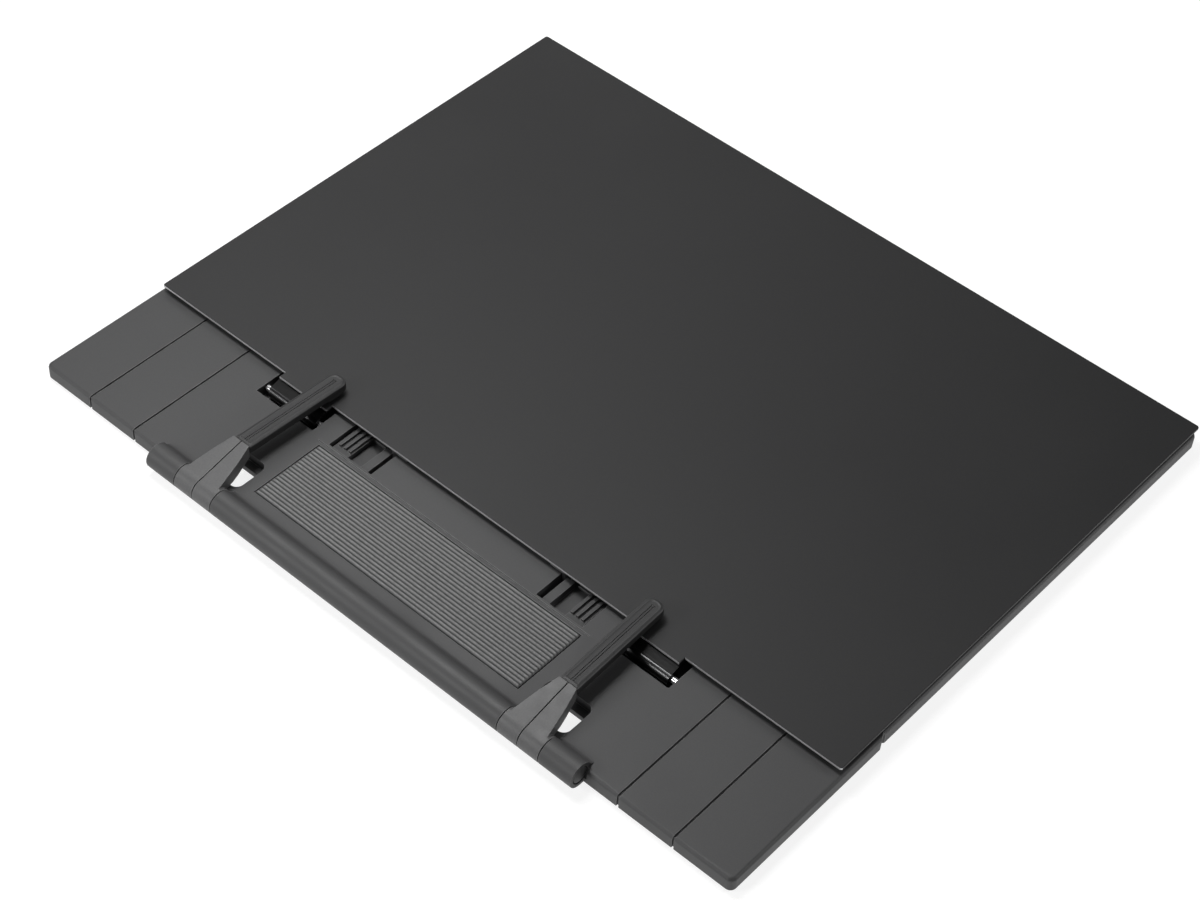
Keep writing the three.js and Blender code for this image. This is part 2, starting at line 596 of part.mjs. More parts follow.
for (const [name, side] of SIDES) {
  place(`${name}_barrel_end_cap`, endCap(side), finish.moulding);
  place(`${name}_arm_axle`, rodX(span(side, AXLE_SPAN), BARREL_Y, BARREL_Z, AXLE_RADIUS), finish.steel);
  place(`${name}_arm_shell_inner`, armShell(side, side > 0 ? 'left' : 'right'), finish.arm);
  place(`${name}_arm_shell_outer`, armShell(side, side > 0 ? 'right' : 'left'), finish.arm);
  place(`${name}_arm_bar`, armBar(side), finish.bar);
  place(`${name}_arm_bumper`, armBumper(side), finish.rubber);
  place(`${name}_hinge_pin`, rodX(span(side, PIN_SPAN), HINGE_Y, HINGE_Z, HINGE_PIN_RADIUS), finish.steel);
  place(`${name}_lock_slider`, lockSlider(side), finish.moulding);
  place(`${name}_hinge_leaf`, hingeLeaf(side), finish.leaf);
  place(`${name}_plate_catch`, plateCatch(side), finish.steel);
  place(`${name}_prop_bracket`, propBracket(side), finish.steel);
  const propPin = rodX(span(side, [51, 64.8]), PROP_Y, HINGE_Z, PROP_PIN_RADIUS, 16);
  place(`${name}_prop_pin`, propPin, finish.steel);
  const sleeve = rodX(span(side, SLEEVE_SPAN), PROP_FOOT_Y, HINGE_Z, SLEEVE_RADIUS);
  const sleeveBore = rodX(span(side, grow(SLEEVE_SPAN, 1)), PROP_FOOT_Y, HINGE_Z, PROP_PIN_RADIUS + GAP, 16);
  place(`${name}_prop_sleeve`, sleeve.subtract(sleeveBore), finish.rubber);
  place(`${name}_rack`, rack(side), finish.bar);
  FOOT_ROWS.forEach((y, i) => place(`${name}_foot_${i + 1}`, footPad(side * FOOT_X, y), finish.rubber));
  BUMPER_ROWS.forEach((y, i) => {
    place(`${name}_plate_bumper_${i + 1}`, plateBumper(side * BUMPER_X, y), finish.rubber);
  });
  SCREW_LINES.forEach((line, i) => {
    place(`${name}_screw_${i + 1}`, screw(side * line, SCREW_Y), finish.steel);
  });
}

export default group;
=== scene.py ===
import json
import math

import bmesh
import bpy
from mathutils import Matrix, Vector


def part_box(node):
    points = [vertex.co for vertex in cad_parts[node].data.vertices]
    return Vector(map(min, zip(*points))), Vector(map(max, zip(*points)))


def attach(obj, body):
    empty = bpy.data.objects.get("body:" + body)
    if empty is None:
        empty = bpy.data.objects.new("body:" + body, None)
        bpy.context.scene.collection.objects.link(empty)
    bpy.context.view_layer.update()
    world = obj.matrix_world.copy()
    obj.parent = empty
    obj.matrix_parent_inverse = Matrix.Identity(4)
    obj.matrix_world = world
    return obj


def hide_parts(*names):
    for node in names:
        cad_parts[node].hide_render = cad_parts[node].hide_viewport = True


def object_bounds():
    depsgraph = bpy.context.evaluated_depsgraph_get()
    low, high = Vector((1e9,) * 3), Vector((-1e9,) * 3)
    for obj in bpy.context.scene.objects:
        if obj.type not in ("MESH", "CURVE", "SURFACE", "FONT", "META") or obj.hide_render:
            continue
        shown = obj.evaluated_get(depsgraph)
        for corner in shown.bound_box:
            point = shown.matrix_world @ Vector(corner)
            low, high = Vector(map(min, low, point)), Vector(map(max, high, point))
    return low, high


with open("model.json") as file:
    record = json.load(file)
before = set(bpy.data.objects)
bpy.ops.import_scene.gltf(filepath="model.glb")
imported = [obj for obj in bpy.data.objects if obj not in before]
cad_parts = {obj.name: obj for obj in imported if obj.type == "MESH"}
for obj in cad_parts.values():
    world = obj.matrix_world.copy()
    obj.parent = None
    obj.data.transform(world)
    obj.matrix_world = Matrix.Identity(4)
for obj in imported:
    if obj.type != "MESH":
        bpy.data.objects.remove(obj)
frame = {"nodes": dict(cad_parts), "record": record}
cad_low, cad_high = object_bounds()

MM = 0.001
SIDES = (("left", -1), ("right", 1))

# Sizes in mm that the frame doesn't give, and the count of the pad's ribs
SHEET_THICKNESS = 1.2
TAB_SPAN = (70.3, 94.6)
TAB_REACH = 3
LEAF_THICKNESS = 1
PIN_RADIUS = 1.25
PAD_RIB_DEPTH = 0.62
PAD_RIBS = 20
ARM_MIDDLE = 76.6
BAR_WIDTH = 7.6
BAR_LEAN = 1.7
TUBE_FILLET = 6

# Clean-up of CAD meshes: weld distance and shortest edge in mm, flatness in degrees
WELD = 0.002
SHORTEST_EDGE = 0.01
FLATNESS = 0.5

# Camera: azimuth, elevation and roll in degrees, distance and aim in m, lens in mm
CAMERA_TURNS = (38.61, 46.68, 4.156)
CAMERA_DISTANCE = 0.9227
CAMERA_AIM = Vector((0.0122, -0.0240, cad_low.z + 9.7 * MM))
SENSOR_WIDTH = 36
FOCAL_LENGTH = 78.49

BODY_OF = {
    node: body
    for body, nodes in frame["record"]["behaviour"]["bodies"].items()
    for node in nodes
}


# ---- Meshes ----
def finish_mesh(name, bm, looks, sharp=40):
    """Turns a bmesh into an object with smooth faces that keeps the corners over `sharp` degrees."""
    bmesh.ops.recalc_face_normals(bm, faces=bm.faces)
    mesh = bpy.data.meshes.new(name)
    bm.to_mesh(mesh)
    bm.free()
    mesh.shade_smooth()
    mesh.set_sharp_from_angle(angle=math.radians(sharp))
    for look in looks:
        mesh.materials.append(look)
    piece = bpy.data.objects.new(name, mesh)
    bpy.context.scene.collection.objects.link(piece)
    weighted = piece.modifiers.new("even shading", "WEIGHTED_NORMAL")
    weighted.keep_sharp = True
    return piece


def stand_for(piece, *nodes):
    """Makes a piece ride and replace the nodes that it stands for."""
    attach(piece, BODY_OF[nodes[0]])
    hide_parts(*nodes)
    return piece


def eased(node, look, bevel=0.15, corner=35, crisp=lambda middle: False, other=None, is_other=None):
    """A CAD node's own form with its corners broken by a small round, `bevel` mm wide.

    A corner whose middle point is `crisp` is left as it is. Faces whose middle point `is_other`
    take the `other` material."""
    bm = bmesh.new()
    bm.from_mesh(frame["nodes"][node].data)
    bmesh.ops.remove_doubles(bm, verts=bm.verts, dist=WELD * MM)
    bmesh.ops.dissolve_limit(bm, angle_limit=math.radians(FLATNESS), verts=bm.verts, edges=bm.edges)
    bmesh.ops.dissolve_degenerate(bm, dist=SHORTEST_EDGE * MM, edges=bm.edges)
    bmesh.ops.triangulate(bm, faces=[face for face in bm.faces if len(face.verts) > 4])
    wear_and_sheen = bm.faces.layers.float.new("wear_and_sheen")
    corners = [
        edge for edge in bm.edges
        if len(edge.link_faces) == 2 and edge.calc_face_angle(0) > math.radians(corner)
        and not crisp((edge.verts[0].co + edge.verts[1].co) / 2)
    ]
    rounded = bmesh.ops.bevel(
        bm, geom=corners, offset=bevel * MM, segments=2, profile=0.5, affect="EDGES", clamp_overlap=False
    )
    for face in rounded["faces"]:
        face[wear_and_sheen] = 1.0
    if other:
        for face in bm.faces:
            face.material_index = 1 if is_other(face.calc_center_median()) else 0
    return stand_for(finish_mesh(node + "_form", bm, [look, other] if other else [look]), node)


def skin(bm, loops):
    """Joins rings of points, all of one count, into a tube of faces and closes both of its ends."""
    rings = [[bm.verts.new(point) for point in loop] for loop in loops]
    for low, high in zip(rings, rings[1:]):
        for i, vert in enumerate(low):
            j = (i + 1) % len(low)
            bm.faces.new((vert, low[j], high[j], high[i]))
    bm.faces.new(rings[0])
    bm.faces.new(rings[-1])
    return rings


def lathe(bm, profile, centre, axis="Z", sides=48):
    """Turns (radius, height) points in mm round an axis through `centre`."""
    def place(r, h, a):
        u, v, along = r * math.cos(a) * MM, r * math.sin(a) * MM, h * MM
        return centre + (Vector((u, v, along)) if axis == "Z" else Vector((along, u, v)))

    turns = [2 * math.pi * i / sides for i in range(sides)]
    skin(bm, [[place(r, h, a) for a in turns] for r, h in profile])


def corner_arc(cx, cy, radius, start, steps):
    """The points of a quarter circle that begins at the angle `start`."""
    turns = [start + k * math.pi / 2 / steps for k in range(steps + 1)]
    return [(cx + radius * math.cos(turn), cy + radius * math.sin(turn)) for turn in turns]


def rounded_outline(x0, x1, y0, y1, radii, steps=6):
    """A rectangle with a radius for each corner: front left, front right, back right, back left."""
    fl, fr, br, bl = (max(r, 0.02 * MM) for r in radii)
    points = corner_arc(x0 + fl, y0 + fl, fl, math.pi, steps)
    points += corner_arc(x1 - fr, y0 + fr, fr, 1.5 * math.pi, steps)
    points += corner_arc(x1 - br, y1 - br, br, 0, steps)
    points += corner_arc(x0 + bl, y1 - bl, bl, 0.5 * math.pi, steps)
    return points


# ---- Shader groups ----
def new_group(name, inputs, outputs):
    group = bpy.data.node_groups.new(name, "ShaderNodeTree")
    for label, kind, default in inputs:
        socket = group.interface.new_socket(name=label, in_out="INPUT", socket_type=kind)
        socket.default_value = default
    for label, kind in outputs:
        group.interface.new_socket(name=label, in_out="OUTPUT", socket_type=kind)
    return group, group.nodes.new("NodeGroupInput"), group.nodes.new("NodeGroupOutput")


def math_node(tree, operation, first, second, clamp=False):
    node = tree.nodes.new("ShaderNodeMath")
    node.operation = operation
    node.use_clamp = clamp
    for i, value in enumerate((first, second)):
        if hasattr(value, "is_linked"):
            tree.links.new(value, node.inputs[i])
        else:
            node.inputs[i].default_value = value
    return node.outputs[0]


def noise_node(tree, vector, scale, detail=3.0, roughness=0.55):
    node = tree.nodes.new("ShaderNodeTexNoise")
    tree.links.new(vector, node.inputs["Vector"])
    if hasattr(scale, "is_linked"):
        tree.links.new(scale, node.inputs["Scale"])
    else:
        node.inputs["Scale"].default_value = scale
    node.inputs["Detail"].default_value = detail
    node.inputs["Roughness"].default_value = roughness
    return node.outputs["Fac"]


def mould_grain_group():
    """Spark-eroded grain of a moulding: a fine height, a tint that varies slowly, and rough patches."""
    group, start, end = new_group(
        "mould_grain",
        [("Grain per metre", "NodeSocketFloat", 2200.0), ("Patch per metre", "NodeSocketFloat", 30.0)],
        [("Height", "NodeSocketFloat"), ("Tint", "NodeSocketFloat"), ("Patch", "NodeSocketFloat")],
    )
    place = group.nodes.new("ShaderNodeTexCoord").outputs["Object"]
    fine = noise_node(group, place, start.outputs[0], 2.0, 0.6)
    patch = noise_node(group, place, start.outputs[1], 4.0, 0.6)
    fine_share = math_node(group, "MULTIPLY", fine, 0.6)
    patch_share = math_node(group, "MULTIPLY", patch, 0.4)
    group.links.new(fine, end.inputs["Height"])
    group.links.new(math_node(group, "ADD", fine_share, patch_share), end.inputs["Tint"])
    group.links.new(patch, end.inputs["Patch"])
    return group


def edge_wear_and_sheen_group():
    """Pale, slightly broken colour along the eased corners that each mesh marks: rubbing, and on the base's
    rims and the bar's lines also a painted highlight.
    """
    group, start, end = new_group(
        "edge_wear_and_sheen",
        [("Amount", "NodeSocketFloat", 0.5), ("Break per metre", "NodeSocketFloat", 160.0)],
        [("Mask", "NodeSocketFloat")],
    )
    marked = group.nodes.new("ShaderNodeAttribute")
    marked.attribute_name = "wear_and_sheen"
    place = group.nodes.new("ShaderNodeTexCoord").outputs["Object"]
    broken = noise_node(group, place, start.outputs[1], 3.0, 0.65)
    strength = math_node(group, "MULTIPLY", broken, start.outputs[0])
    mask = math_node(group, "MULTIPLY", strength, marked.outputs["Fac"], clamp=True)
    group.links.new(mask, end.inputs["Mask"])
    return group


def rub_group():
    """Fine directional rubbing for drawn and sheared metal, stretched along X unless told otherwise."""
    group, start, end = new_group(
        "metal_rub",
        [
            ("Lines per metre", "NodeSocketFloat", 3000.0),
            ("Stretch", "NodeSocketVector", (0.04, 1.0, 1.0)),
        ],
        [("Height", "NodeSocketFloat"), ("Streak", "NodeSocketFloat")],
    )
    place = group.nodes.new("ShaderNodeTexCoord").outputs["Object"]
    stretched = group.nodes.new("ShaderNodeVectorMath")
    stretched.operation = "MULTIPLY"
    group.links.new(place, stretched.inputs[0])
    group.links.new(start.outputs[1], stretched.inputs[1])
    line = noise_node(group, stretched.outputs[0], start.outputs[0], 2.0, 0.5)
    cloud = noise_node(group, place, 90.0, 3.0, 0.6)
    group.links.new(line, end.inputs["Height"])
    group.links.new(math_node(group, "MULTIPLY", line, cloud), end.inputs["Streak"])
    return group


GRAIN = mould_grain_group()
WEAR_AND_SHEEN = edge_wear_and_sheen_group()
RUB = rub_group()


# ---- Materials ----
def placed_group(tree, group, **values):
    """Places a shader group. Each value is for the input whose name it has, with _ for a space."""
    node = tree.nodes.new("ShaderNodeGroup")
    node.node_tree = group
    for label, value in values.items():
        node.inputs[label.replace("_", " ")].default_value = value
    return node


def spread(tree, factor, low, high):
    """Maps a 0.3 to 0.7 noise value to a range."""
    node = tree.nodes.new("ShaderNodeMapRange")
    tree.links.new(factor, node.inputs["Value"])
    node.inputs["From Min"].default_value = 0.3
    node.inputs["From Max"].default_value = 0.7
    node.inputs["To Min"].default_value = low
    node.inputs["To Max"].default_value = high
    return node.outputs["Result"]


def mixed_colour(tree, factor, first, second):
    node = tree.nodes.new("ShaderNodeMix")
    node.data_type = "RGBA"
    for socket, value in ((node.inputs["A"], first), (node.inputs["B"], second)):
        if hasattr(value, "is_linked"):
            tree.links.new(value, socket)
        else:
            socket.default_value = (*value, 1.0)
    tree.links.new(factor, node.inputs["Factor"])
    return node.outputs["Result"]


def bumped(tree, height, strength, distance):
    """A normal from a height, with `distance` in mm."""
    node = tree.nodes.new("ShaderNodeBump")
    node.inputs["Strength"].default_value = strength
    node.inputs["Distance"].default_value = distance * MM
    tree.links.new(height, node.inputs["Height"])
    return node.outputs["Normal"]


def blank_material(name):
    material = bpy.data.materials.new(name)
    material.use_nodes = True
    return material, material.node_tree, material.node_tree.nodes["Principled BSDF"]


def moulded(
    name, dark, light, rub_and_sheen, rough,
    wear_and_sheen=0.5, grain=2200.0, patch=30.0, depth=0.02, strength=0.5, broken=160.0, gloss=0.5,
):
    """A grained moulding: two close tints, pale corners that are partly rubbing and partly painted highlight,
    and roughness that drifts.
    """
    material, tree, shader = blank_material(name)
    surface = placed_group(tree, GRAIN, Grain_per_metre=grain, Patch_per_metre=patch)
    worn_and_sheen = placed_group(tree, WEAR_AND_SHEEN, Amount=wear_and_sheen, Break_per_metre=broken)
    body = mixed_colour(tree, spread(tree, surface.outputs["Tint"], 0.0, 1.0), dark, light)
    tree.links.new(mixed_colour(tree, worn_and_sheen.outputs["Mask"], body, rub_and_sheen), shader.inputs["Base Color"])
    tree.links.new(spread(tree, surface.outputs["Patch"], *rough), shader.inputs["Roughness"])
    tree.links.new(bumped(tree, surface.outputs["Height"], strength, depth), shader.inputs["Normal"])
    shader.inputs["Specular IOR Level"].default_value = gloss
    return material


def metal(
    name, dark, light, rough,
    stretch=(0.04, 1.0, 1.0), strength=0.35, metallic=1.0, gloss=0.5,
):
    """Rubbed metal: two close tints in streaks, and roughness that follows the rubbing."""
    material, tree, shader = blank_material(name)
    rubbed = placed_group(tree, RUB, Stretch=stretch)
    tint = spread(tree, rubbed.outputs["Streak"], 0.0, 1.0)
    tree.links.new(mixed_colour(tree, tint, dark, light), shader.inputs["Base Color"])
    tree.links.new(spread(tree, rubbed.outputs["Height"], *rough), shader.inputs["Roughness"])
    tree.links.new(bumped(tree, rubbed.outputs["Height"], strength, 0.01), shader.inputs["Normal"])
    shader.inputs["Metallic"].default_value = metallic
    shader.inputs["Specular IOR Level"].default_value = gloss
    return material


PLATE_PAINT = moulded(
    "plate_paint", (0.014, 0.014, 0.0145), (0.018, 0.018, 0.0185), (0.09, 0.09, 0.09), (0.46, 0.56),
    wear_and_sheen=0.6, grain=1500.0, patch=9.0, depth=0.012, strength=0.35, gloss=0.4,
)
# Its pale corner colour is partly wear and partly a painted highlight along the rims of the base.
BASE_PLASTIC = moulded(
    "base_plastic", (0.040, 0.040, 0.041), (0.052, 0.052, 0.053), (0.20, 0.20, 0.20), (0.50, 0.62),
    wear_and_sheen=1.0,
)
# Lighter than the base plastic: painted light, standing for the extra light that the shells' sloped faces
# catch.
LIT_ARM_PLASTIC = moulded(
    "lit_arm_plastic", (0.070, 0.070, 0.071), (0.100, 0.100, 0.101), (0.22, 0.22, 0.22), (0.48, 0.60),
    wear_and_sheen=0.7, grain=1500.0, patch=220.0, depth=0.025,
)
BAR_PLASTIC = moulded(
    "bar_plastic", (0.012, 0.012, 0.0125), (0.018, 0.018, 0.0185), (0.12, 0.12, 0.12), (0.46, 0.58),
    wear_and_sheen=0.7,
)
PROP_PLASTIC = moulded(
    "prop_plastic", (0.016, 0.016, 0.0165), (0.024, 0.024, 0.0245), (0.12, 0.12, 0.12), (0.50, 0.62),
    wear_and_sheen=0.5,
)
PAD_RUBBER = moulded(
    "pad_rubber", (0.045, 0.045, 0.046), (0.055, 0.055, 0.056), (0.30, 0.30, 0.30), (0.62, 0.74),
    wear_and_sheen=1.1, grain=1800.0, patch=25.0, depth=0.02, broken=1400.0,
)
FOOT_RUBBER = moulded(
    "foot_rubber", (0.020, 0.020, 0.020), (0.034, 0.034, 0.034), (0.09, 0.09, 0.09), (0.72, 0.88), wear_and_sheen=0.6,
)
# Bare metal on the plate's front edge only: partly a real bare edge, partly a painted highlight where the
# front catches the light.
BARE_EDGE_AND_HIGHLIGHT = metal(
    "bare_sheet_edge_and_highlight", (0.60, 0.60, 0.61), (0.82, 0.82, 0.83), (0.40, 0.52), metallic=0.6,
)
LEAF_BLACK = metal(
    "blackened_leaf", (0.05, 0.05, 0.051), (0.09, 0.09, 0.091), (0.26, 0.36), strength=0.06,
)
# Far darker than the rolled part: partly a dull finish, partly painted shade on the leaf's back under the
# tab.
LEAF_DULL_SHADED = metal(
    "dull_shaded_blackened_leaf", (0.004, 0.004, 0.004), (0.009, 0.009, 0.009), (0.45, 0.60),
    metallic=0, gloss=0.15,
)
PIN_STEEL = metal(
    "pin_steel", (0.66, 0.66, 0.67), (0.84, 0.84, 0.85), (0.18, 0.30), metallic=0.85,
)
BRACKET_STEEL = metal(
    "bracket_steel", (0.40, 0.40, 0.41), (0.60, 0.60, 0.61), (0.30, 0.45), stretch=(1.0, 0.04, 1.0),
)


# ---- Plate ----
def sheet_outline(low, high, front, gap):
    """The sheet from above, drawn in by `gap`, with a tab in front of each hinge."""
    radius = 1.0 * MM - gap
    tab_in, tab_out = TAB_SPAN[0] * MM + gap, TAB_SPAN[1] * MM - gap
    edge, tip = front + gap, low.y + gap
    points = corner_arc(low.x + gap + radius, edge + radius, radius, math.pi, 6)
    for inner, outer in ((-tab_out, -tab_in), (tab_in, tab_out)):
        points += [(inner, edge), (inner, tip), (outer, tip), (outer, edge)]
    points += corner_arc(high.x - gap - radius, edge + radius, radius, 1.5 * math.pi, 6)
    points += corner_arc(high.x - gap - radius, high.y - gap - radius, radius, 0, 6)
    points += corner_arc(low.x + gap + radius, high.y - gap - radius, radius, 0.5 * math.pi, 6)
    return points


def plate_sheet():
    """The flat sheet: painted all over but for its front edge, which is bare metal. Keeping the bare metal to
    the front is partly painted highlight: the front edge shows bright, the other edges stay dark.
    """
    low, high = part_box("top_plate")
    front = low.y + TAB_REACH * MM
    burr = 0.4
    rings = (
        (0.30, 0.0), (0.05, 0.2), (0.0, burr),
        (0.0, SHEET_THICKNESS - 0.34), (0.1, SHEET_THICKNESS - 0.1), (0.34, SHEET_THICKNESS),
    )
    bm = bmesh.new()
    loops = []
    for inset, height in rings:
        outline = sheet_outline(low, high, front, inset * MM)
        loops.append([(x, y, low.z + height * MM) for x, y in outline])
    skin(bm, loops)
    for face in bm.faces:
        face.normal_update()
        middle = face.calc_center_median()
        faces_front = abs(face.normal.z) < 0.9 and face.normal.y < -0.3
        bare_and_highlight = faces_front and (middle.z > low.z + burr * MM or middle.y < front - 1 * MM)
        face.material_index = 1 if bare_and_highlight else 0
    return stand_for(finish_mesh("plate_sheet", bm, [PLATE_PAINT, BARE_EDGE_AND_HIGHLIGHT], 30), "top_plate")


def leaf_path(centre, radius, back, bend, top):
    """The middle line of the leaf in (y, z): forward under the plate, down, and round the pin."""
    dy, dz = bend - centre[0], top - centre[1]
    touch = math.atan2(dz, dy) + math.acos(radius / math.hypot(dy, dz))
    steps, roll = 36, math.radians(292)
    turns = [touch + roll * i / steps for i in range(steps + 1)]
    ring = [(centre[0] + radius * math.cos(a), centre[1] + radius * math.sin(a)) for a in turns]
    return [(back, top), ((back + bend) / 2, top), (bend, top)] + ring


def hinge_leaf(name):
    """Blackened sheet, welded under the plate and rolled round the pin, and dull behind the pin, where its
    far darker colour is partly painted shade under the tab.
    """
    node = name + "_hinge_leaf"
    low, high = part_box(node)
    pin_low, pin_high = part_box(name + "_hinge_pin")
    centre = ((pin_low.y + pin_high.y) / 2, (pin_low.z + pin_high.z) / 2)
    half = LEAF_THICKNESS / 2 * MM
    radius = centre[0] - low.y - half
    path = leaf_path(centre, radius, high.y - 0.1 * MM, centre[0] + 4 * MM, high.z - half)
    left, right = [], []
    for i, (y, z) in enumerate(path):
        before, after = path[max(i - 1, 0)], path[min(i + 1, len(path) - 1)]
        dy, dz = after[0] - before[0], after[1] - before[1]
        length = math.hypot(dy, dz)
        left.append((y - dz / length * half, z + dy / length * half))
        right.append((y + dz / length * half, z - dy / length * half))
    section = left + right[::-1]
    ease = 0.1 * MM
    bm = bmesh.new()
    skin(bm, [[(x, y, z) for y, z in section] for x in (low.x, low.x + ease, high.x - ease, high.x)])
    for face in bm.faces:
        face.material_index = 1 if face.calc_center_median().y > centre[0] + 0.7 * radius else 0
    return stand_for(finish_mesh(node + "_rolled", bm, [LEAF_BLACK, LEAF_DULL_SHADED], 50), node)


def hinge_pin(name):
    """A steel pin with a chamfer at both ends."""
    low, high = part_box(name + "_hinge_pin")
    middle = (low + high) / 2
    length = (high.x - low.x) / MM
    hub, chamfer = 0.05, 0.35
    profile = [
        (hub, 0), (PIN_RADIUS - chamfer, 0), (PIN_RADIUS, chamfer),
        (PIN_RADIUS, length - chamfer), (PIN_RADIUS - chamfer, length), (hub, length),
    ]
    bm = bmesh.new()
    lathe(bm, profile, Vector((low.x, middle.y, middle.z)), "X", 32)
    piece = finish_mesh(name + "_pin_form", bm, [PIN_STEEL], 50)
    return stand_for(piece, name + "_hinge_pin")


# ---- Grip pad ----
def grip_pad():
    """Rounded rubber ribs that run along the strip and die away at both ends."""
    low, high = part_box("grip_pad")
    steps = 8
    pitch = (high.y - low.y) / PAD_RIBS
    depth = PAD_RIB_DEPTH * MM
    ends, fade = (0.0, 0.15, 0.35, 0.6, 0.9, 1.3), 0.9
    xs = [low.x + e * MM for e in ends] + [high.x - e * MM for e in reversed(ends)]
    rise = [math.sqrt(min(1.0, e / fade)) for e in ends]
    rise += rise[::-1]
    ys = [low.y + pitch * i / steps for i in range(PAD_RIBS * steps + 1)]
    bm = bmesh.new()
    wear_and_sheen = bm.verts.layers.float.new("wear_and_sheen")
    rows = []
    for x, scale in zip(xs, rise):
        row = []
        for i, y in enumerate(ys):
            crest = math.sin(math.pi * ((i % steps) / steps)) ** 0.7 * scale
            vert = bm.verts.new((x, y, high.z - depth + depth * crest))
            vert[wear_and_sheen] = crest ** 2
            row.append(vert)
        rows.append(row)
    for a, b in zip(rows, rows[1:]):
        for i in range(len(ys) - 1):
            bm.faces.new((a[i], b[i], b[i + 1], a[i + 1]))
    edge = rows[0] + [row[-1] for row in rows[1:-1]]
    edge += rows[-1][::-1] + [row[0] for row in rows[-2:0:-1]]
    floor = [bm.verts.new((v.co.x, v.co.y, low.z)) for v in edge]
    for i in range(len(edge)):
        j = (i + 1) % len(edge)
        bm.faces.new((edge[i], edge[j], floor[j], floor[i]))
    bm.faces.new(floor)
    return stand_for(finish_mesh("grip_pad_ribs", bm, [PAD_RUBBER], 75), "grip_pad")


# ---- Arms ----
def bar_frame(name, side):
    """The bar's box, where it leaves its shells, its middle and half width there, and how it leans."""
    low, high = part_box(name + "_arm_bar")
    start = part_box(name + "_arm_shell_inner")[1].y
    root, half = side * ARM_MIDDLE * MM, BAR_WIDTH / 2 * MM

    def leaned(x, y):
        return x - side * BAR_LEAN * MM * max(0.0, y - start) / (high.y - start)

    return low, high, start, root, half, leaned


def arm_bar(name, side):
    """A long bar with softly rounded edges, a faint line inside its outline, and its tongue."""
    node = name + "_arm_bar"
    low, high, start, root, half, leaned = bar_frame(name, side)
    y0, y1 = start + 0.3 * MM, high.y
    z0, z1 = low.z, high.z
    rings = (
        (1.3, z0 + 1.1 * MM), (1.25, z0 + 0.1 * MM), (1.1, z0), (0.3, z0), (0.0, z0 + 0.3 * MM),
        (0.0, z1 - 0.8 * MM), (0.08, z1 - 0.5 * MM), (0.26, z1 - 0.26 * MM), (0.55, z1 - 0.14 * MM),
        (1.0, z1 - 0.1 * MM), (1.18, z1), (1.34, z1), (1.5, z1 - 0.1 * MM), (2.2, z1 - 0.12 * MM),
    )
    root_corner = 0.2 * MM
    bm = bmesh.new()
    wear_and_sheen = bm.verts.layers.float.new("wear_and_sheen")
    loops = []
    for inset, z in rings:
        gap = inset * MM
        tip = max(3.2 * MM - gap, 0.5 * MM)
        outline = rounded_outline(
            root - half + gap, root + half - gap, y0 + gap, y1 - gap, (root_corner, root_corner, tip, tip), 10
        )
        loops.append([(leaned(x, y), y, z) for x, y in outline])
    made = skin(bm, loops)
    for ring, amount in ((made[6], 0.9), (made[7], 1.0), (made[10], 0.35), (made[11], 0.35)):
        for vert in ring:
            vert[wear_and_sheen] = amount
    top, tongue = z0 + 1.5 * MM, 2 * MM
    skin(bm, [
        [(root - tongue + g, y, z0 + g), (root + tongue - g, y, z0 + g),
         (root + tongue - g, y, top - g), (root - tongue + g, y, top - g)]
        for g, y in ((0.25 * MM, low.y), (0, low.y + 0.25 * MM), (0, y0 + 0.4 * MM))
    ])
    return stand_for(finish_mesh(node + "_form", bm, [BAR_PLASTIC], 50), node)


def bar_ridge(name, node, leaned, x0, x1, y0, y1, z0, z1, round_by, rub_and_sheen=0.0):
    """A small moulded rib with eased upper edges that leans and rides with the bar."""
    rings = (
        (0, z0), (0, z1 - round_by * MM), (round_by * 0.4, z1 - round_by * 0.4 * MM), (round_by, z1),
    )
    bm = bmesh.new()
    wear_and_sheen = bm.verts.layers.float.new("wear_and_sheen")
    loops = []
    for inset, z in rings:
        gap = inset * MM
        outline = rounded_outline(x0 + gap, x1 - gap, y0 + gap, y1 - gap, [0.25 * MM] * 4, 3)
        loops.append([(leaned(x, y), y, z) for x, y in outline])
    made = skin(bm, loops)
    for ring in made[2:]:
        for vert in ring:
            vert[wear_and_sheen] = rub_and_sheen
    piece = finish_mesh(name, bm, [BAR_PLASTIC], 60)
    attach(piece, BODY_OF[node])


def arm_details(name, side):
    """The two fine lines along the bar, its tip rib, and the ribs in its hollow underside. The lines and the
    tip rib stand barely proud, and their pale colour is painted highlight.
    """
    node = name + "_arm_bar"
    low, high, start, root, _, leaned = bar_frame(name, side)
    top = high.z - 0.12 * MM
    # The lines' and the tip rib's pale colour is a painted highlight.
    for i, offset in ((1, -0.45 * MM), (2, 0.45 * MM)):
        x = root + offset
        bar_ridge(
            f"{name}_bar_line_{i}", node, leaned, x - 0.16 * MM, x + 0.16 * MM,
            start + 1.5 * MM, high.y - 3.5 * MM, top - 0.3 * MM, top + 0.02 * MM, round_by=0.02, rub_and_sheen=0.9,
        )
    bar_ridge(
        name + "_bar_tip_rib", node, leaned, root - 0.9 * MM, root + 0.9 * MM,
        high.y - 3.6 * MM, high.y - 3.2 * MM, top - 0.3 * MM, top + 0.02 * MM, round_by=0.02, rub_and_sheen=0.6,
    )
    ribs, first, pitch = 6, 5, 5.2
    for i in range(ribs):
        y = start + (first + i * pitch) * MM
        bar_ridge(
            f"{name}_bar_under_rib_{i + 1}", node, leaned, root - 2.6 * MM, root + 2.6 * MM,
            y, y + 0.9 * MM, low.z + 0.15 * MM, low.z + 1.4 * MM, round_by=0.15,
        )


